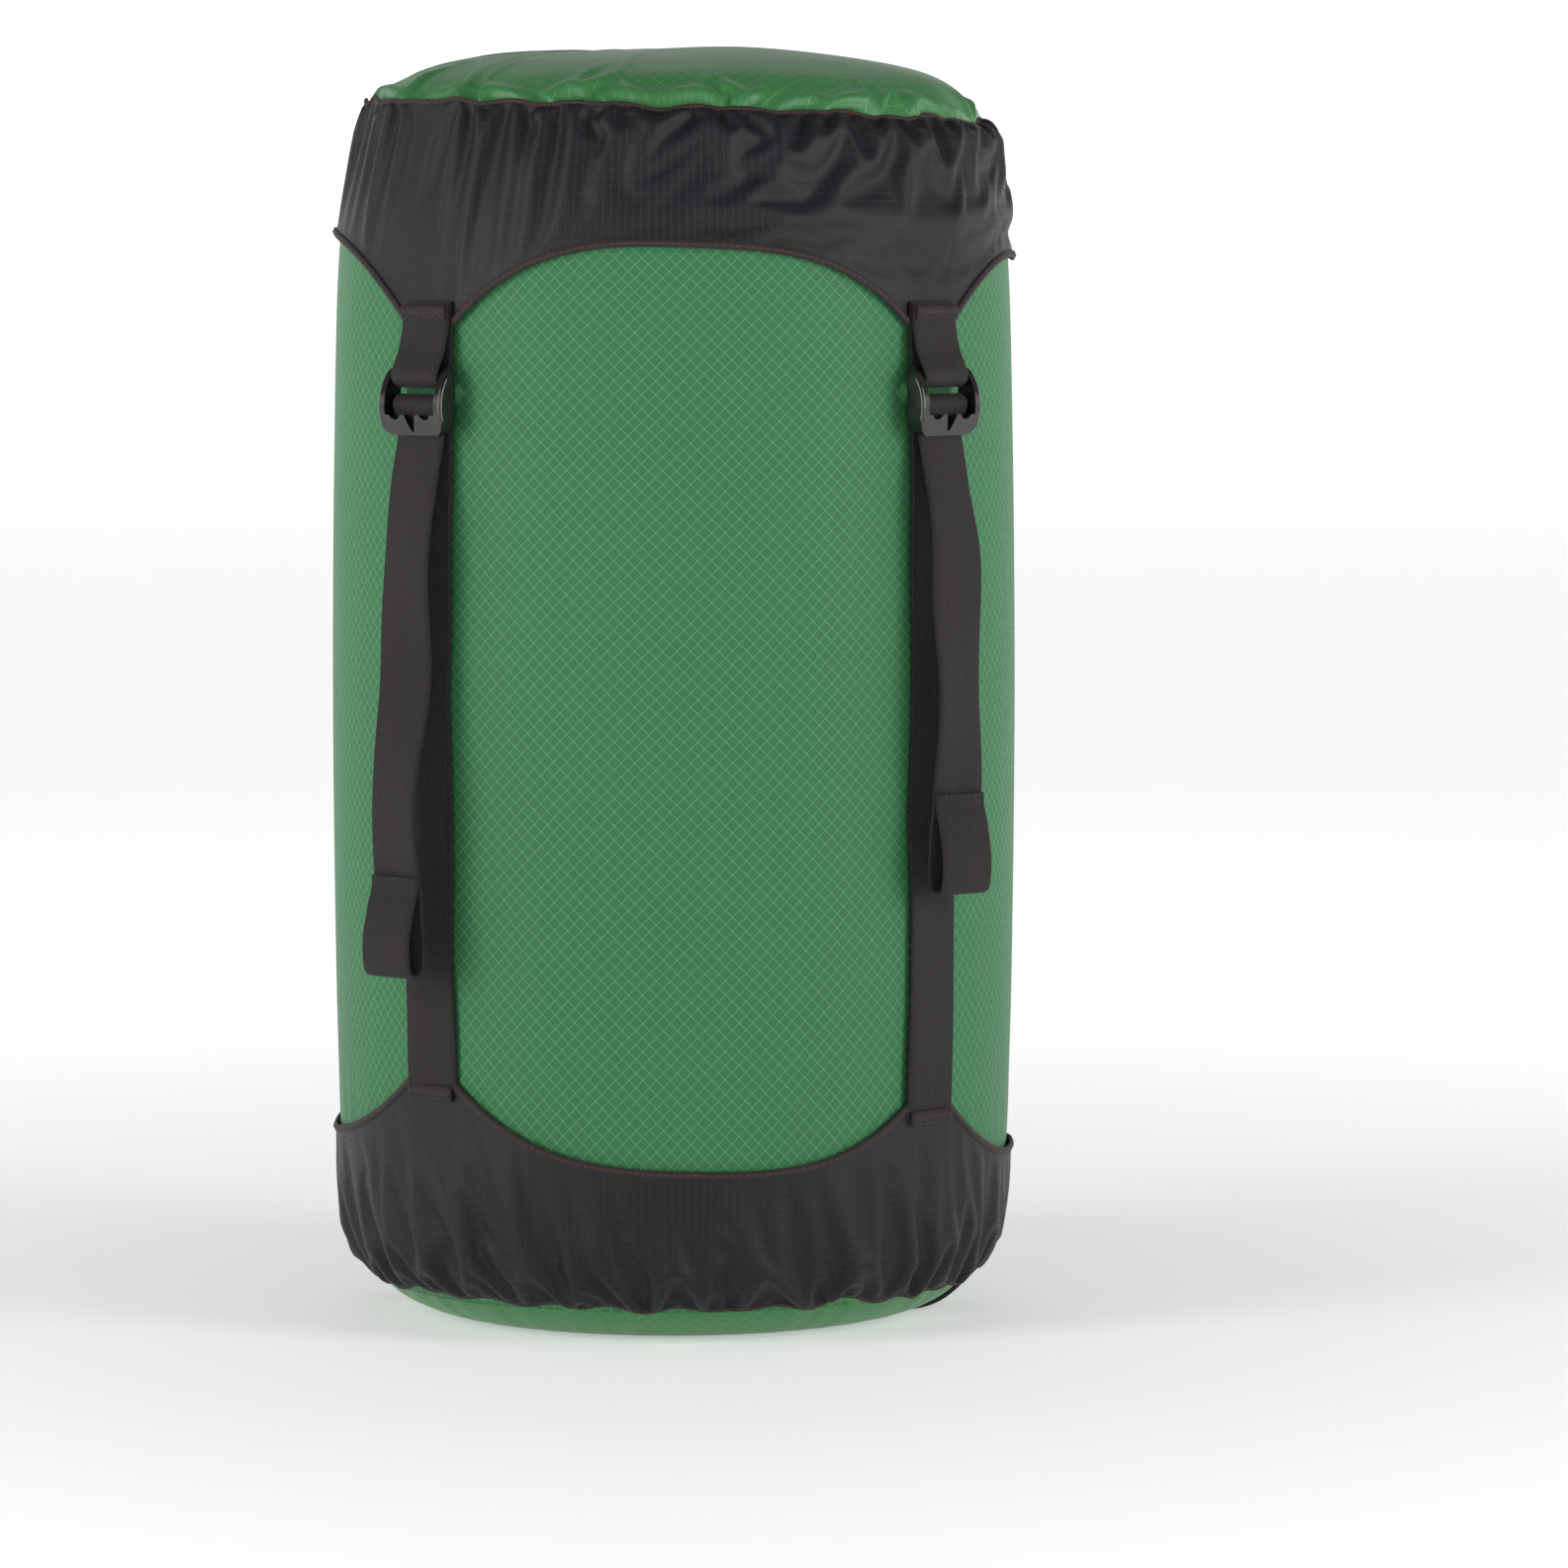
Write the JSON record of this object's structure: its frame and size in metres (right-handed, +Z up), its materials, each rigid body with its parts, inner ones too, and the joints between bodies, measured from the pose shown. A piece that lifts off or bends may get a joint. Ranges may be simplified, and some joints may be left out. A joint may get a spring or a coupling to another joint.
{
  "type": "stuff sack",
  "caption": "Round compression stuff sack: ripstop body with a gathered mouth, a scalloped lid over it, and webbing straps through ladder-lock buckles.",
  "frame": {"origin": "middle of the flat base, on the surface that the sack stands on", "axes": "+Z up through the mouth and lid; the side seen in a front view faces -Y, and the straps stand at 45 degrees either side of it"},
  "size_m": [0.22, 0.22, 0.408],
  "materials": {
    "green_ripstop": "light sheen, diamond ripstop",
    "dark_ripstop": "charcoal ripstop, soft sheen",
    "webbing": "woven herringbone webbing",
    "binding_tape": "woven edge tape",
    "thread": "dense stitching",
    "buckle_plastic": "moulded acetal",
    "eyelet": "blackened metal"
  },
  "bodies": {
    "sack": {"base_panel": "green_ripstop", "base_handle": "webbing", "sack_tube": "green_ripstop", "base_collar": "dark_ripstop", "base_collar_binding": "binding_tape", "base_hem_binding": "binding_tape", "base_bartacks": "thread", "strap_front_left_strand": "webbing", "strap_front_right_strand": "webbing", "strap_rear_right_strand": "webbing", "strap_rear_left_strand": "webbing"},
    "mouth": {"sack_shoulder": "green_ripstop", "mouth_hem": "binding_tape", "cord_eyelet": "eyelet"},
    "lid": {"lid_panel": "green_ripstop", "lid_collar": "dark_ripstop", "lid_collar_binding": "binding_tape", "lid_hem_binding": "binding_tape", "lid_bartacks": "thread", "anchor_front_left": "webbing", "anchor_front_right": "webbing", "anchor_rear_right": "webbing", "anchor_rear_left": "webbing"},
    "buckle_front_left": {"ladderlock_front_left": "buckle_plastic", "strap_front_left_wrap": "webbing"},
    "tail_front_left": {"strap_front_left_tail": "webbing"},
    "buckle_front_right": {"ladderlock_front_right": "buckle_plastic", "strap_front_right_wrap": "webbing"},
    "tail_front_right": {"strap_front_right_tail": "webbing"},
    "buckle_rear_right": {"ladderlock_rear_right": "buckle_plastic", "strap_rear_right_wrap": "webbing"},
    "tail_rear_right": {"strap_rear_right_tail": "webbing"},
    "buckle_rear_left": {"ladderlock_rear_left": "buckle_plastic", "strap_rear_left_wrap": "webbing"},
    "tail_rear_left": {"strap_rear_left_tail": "webbing"}
  },
  "joints": [
    {"name": "compress", "type": "slide", "parent": "sack", "child": "mouth", "axis": [0, 0, 1], "range_m": [-0.1, 0], "deforming": ["sack_tube", "strap_front_left_strand", "strap_front_right_strand", "strap_rear_right_strand", "strap_rear_left_strand"]},
    {"name": "lid_lift", "type": "slide", "parent": "mouth", "child": "lid", "axis": [0, 0, 1], "range_m": [0, 0.09]},
    {"name": "buckle_front_left_swing", "type": "hinge", "parent": "lid", "child": "buckle_front_left", "pos_m": [-0.08061, -0.08061, 0.302], "axis": [-0.7071, 0.7071, 0], "range_deg": [0, 45]},
    {"name": "tail_front_left_swing", "type": "hinge", "parent": "buckle_front_left", "child": "tail_front_left", "pos_m": [-0.08075, -0.08075, 0.2819], "axis": [-0.7071, 0.7071, 0], "range_deg": [0, 70]},
    {"name": "buckle_front_right_swing", "type": "hinge", "parent": "lid", "child": "buckle_front_right", "pos_m": [0.08061, -0.08061, 0.302], "axis": [-0.7071, -0.7071, 0], "range_deg": [0, 45]},
    {"name": "tail_front_right_swing", "type": "hinge", "parent": "buckle_front_right", "child": "tail_front_right", "pos_m": [0.08075, -0.08075, 0.2819], "axis": [-0.7071, -0.7071, 0], "range_deg": [0, 70]},
    {"name": "buckle_rear_right_swing", "type": "hinge", "parent": "lid", "child": "buckle_rear_right", "pos_m": [0.08061, 0.08061, 0.302], "axis": [0.7071, -0.7071, 0], "range_deg": [0, 45]},
    {"name": "tail_rear_right_swing", "type": "hinge", "parent": "buckle_rear_right", "child": "tail_rear_right", "pos_m": [0.08075, 0.08075, 0.2819], "axis": [0.7071, -0.7071, 0], "range_deg": [0, 70]},
    {"name": "buckle_rear_left_swing", "type": "hinge", "parent": "lid", "child": "buckle_rear_left", "pos_m": [-0.08061, 0.08061, 0.302], "axis": [0.7071, 0.7071, 0], "range_deg": [0, 45]},
    {"name": "tail_rear_left_swing", "type": "hinge", "parent": "buckle_rear_left", "child": "tail_rear_left", "pos_m": [-0.08075, 0.08075, 0.2819], "axis": [0.7071, 0.7071, 0], "range_deg": [0, 70]}
  ]
}
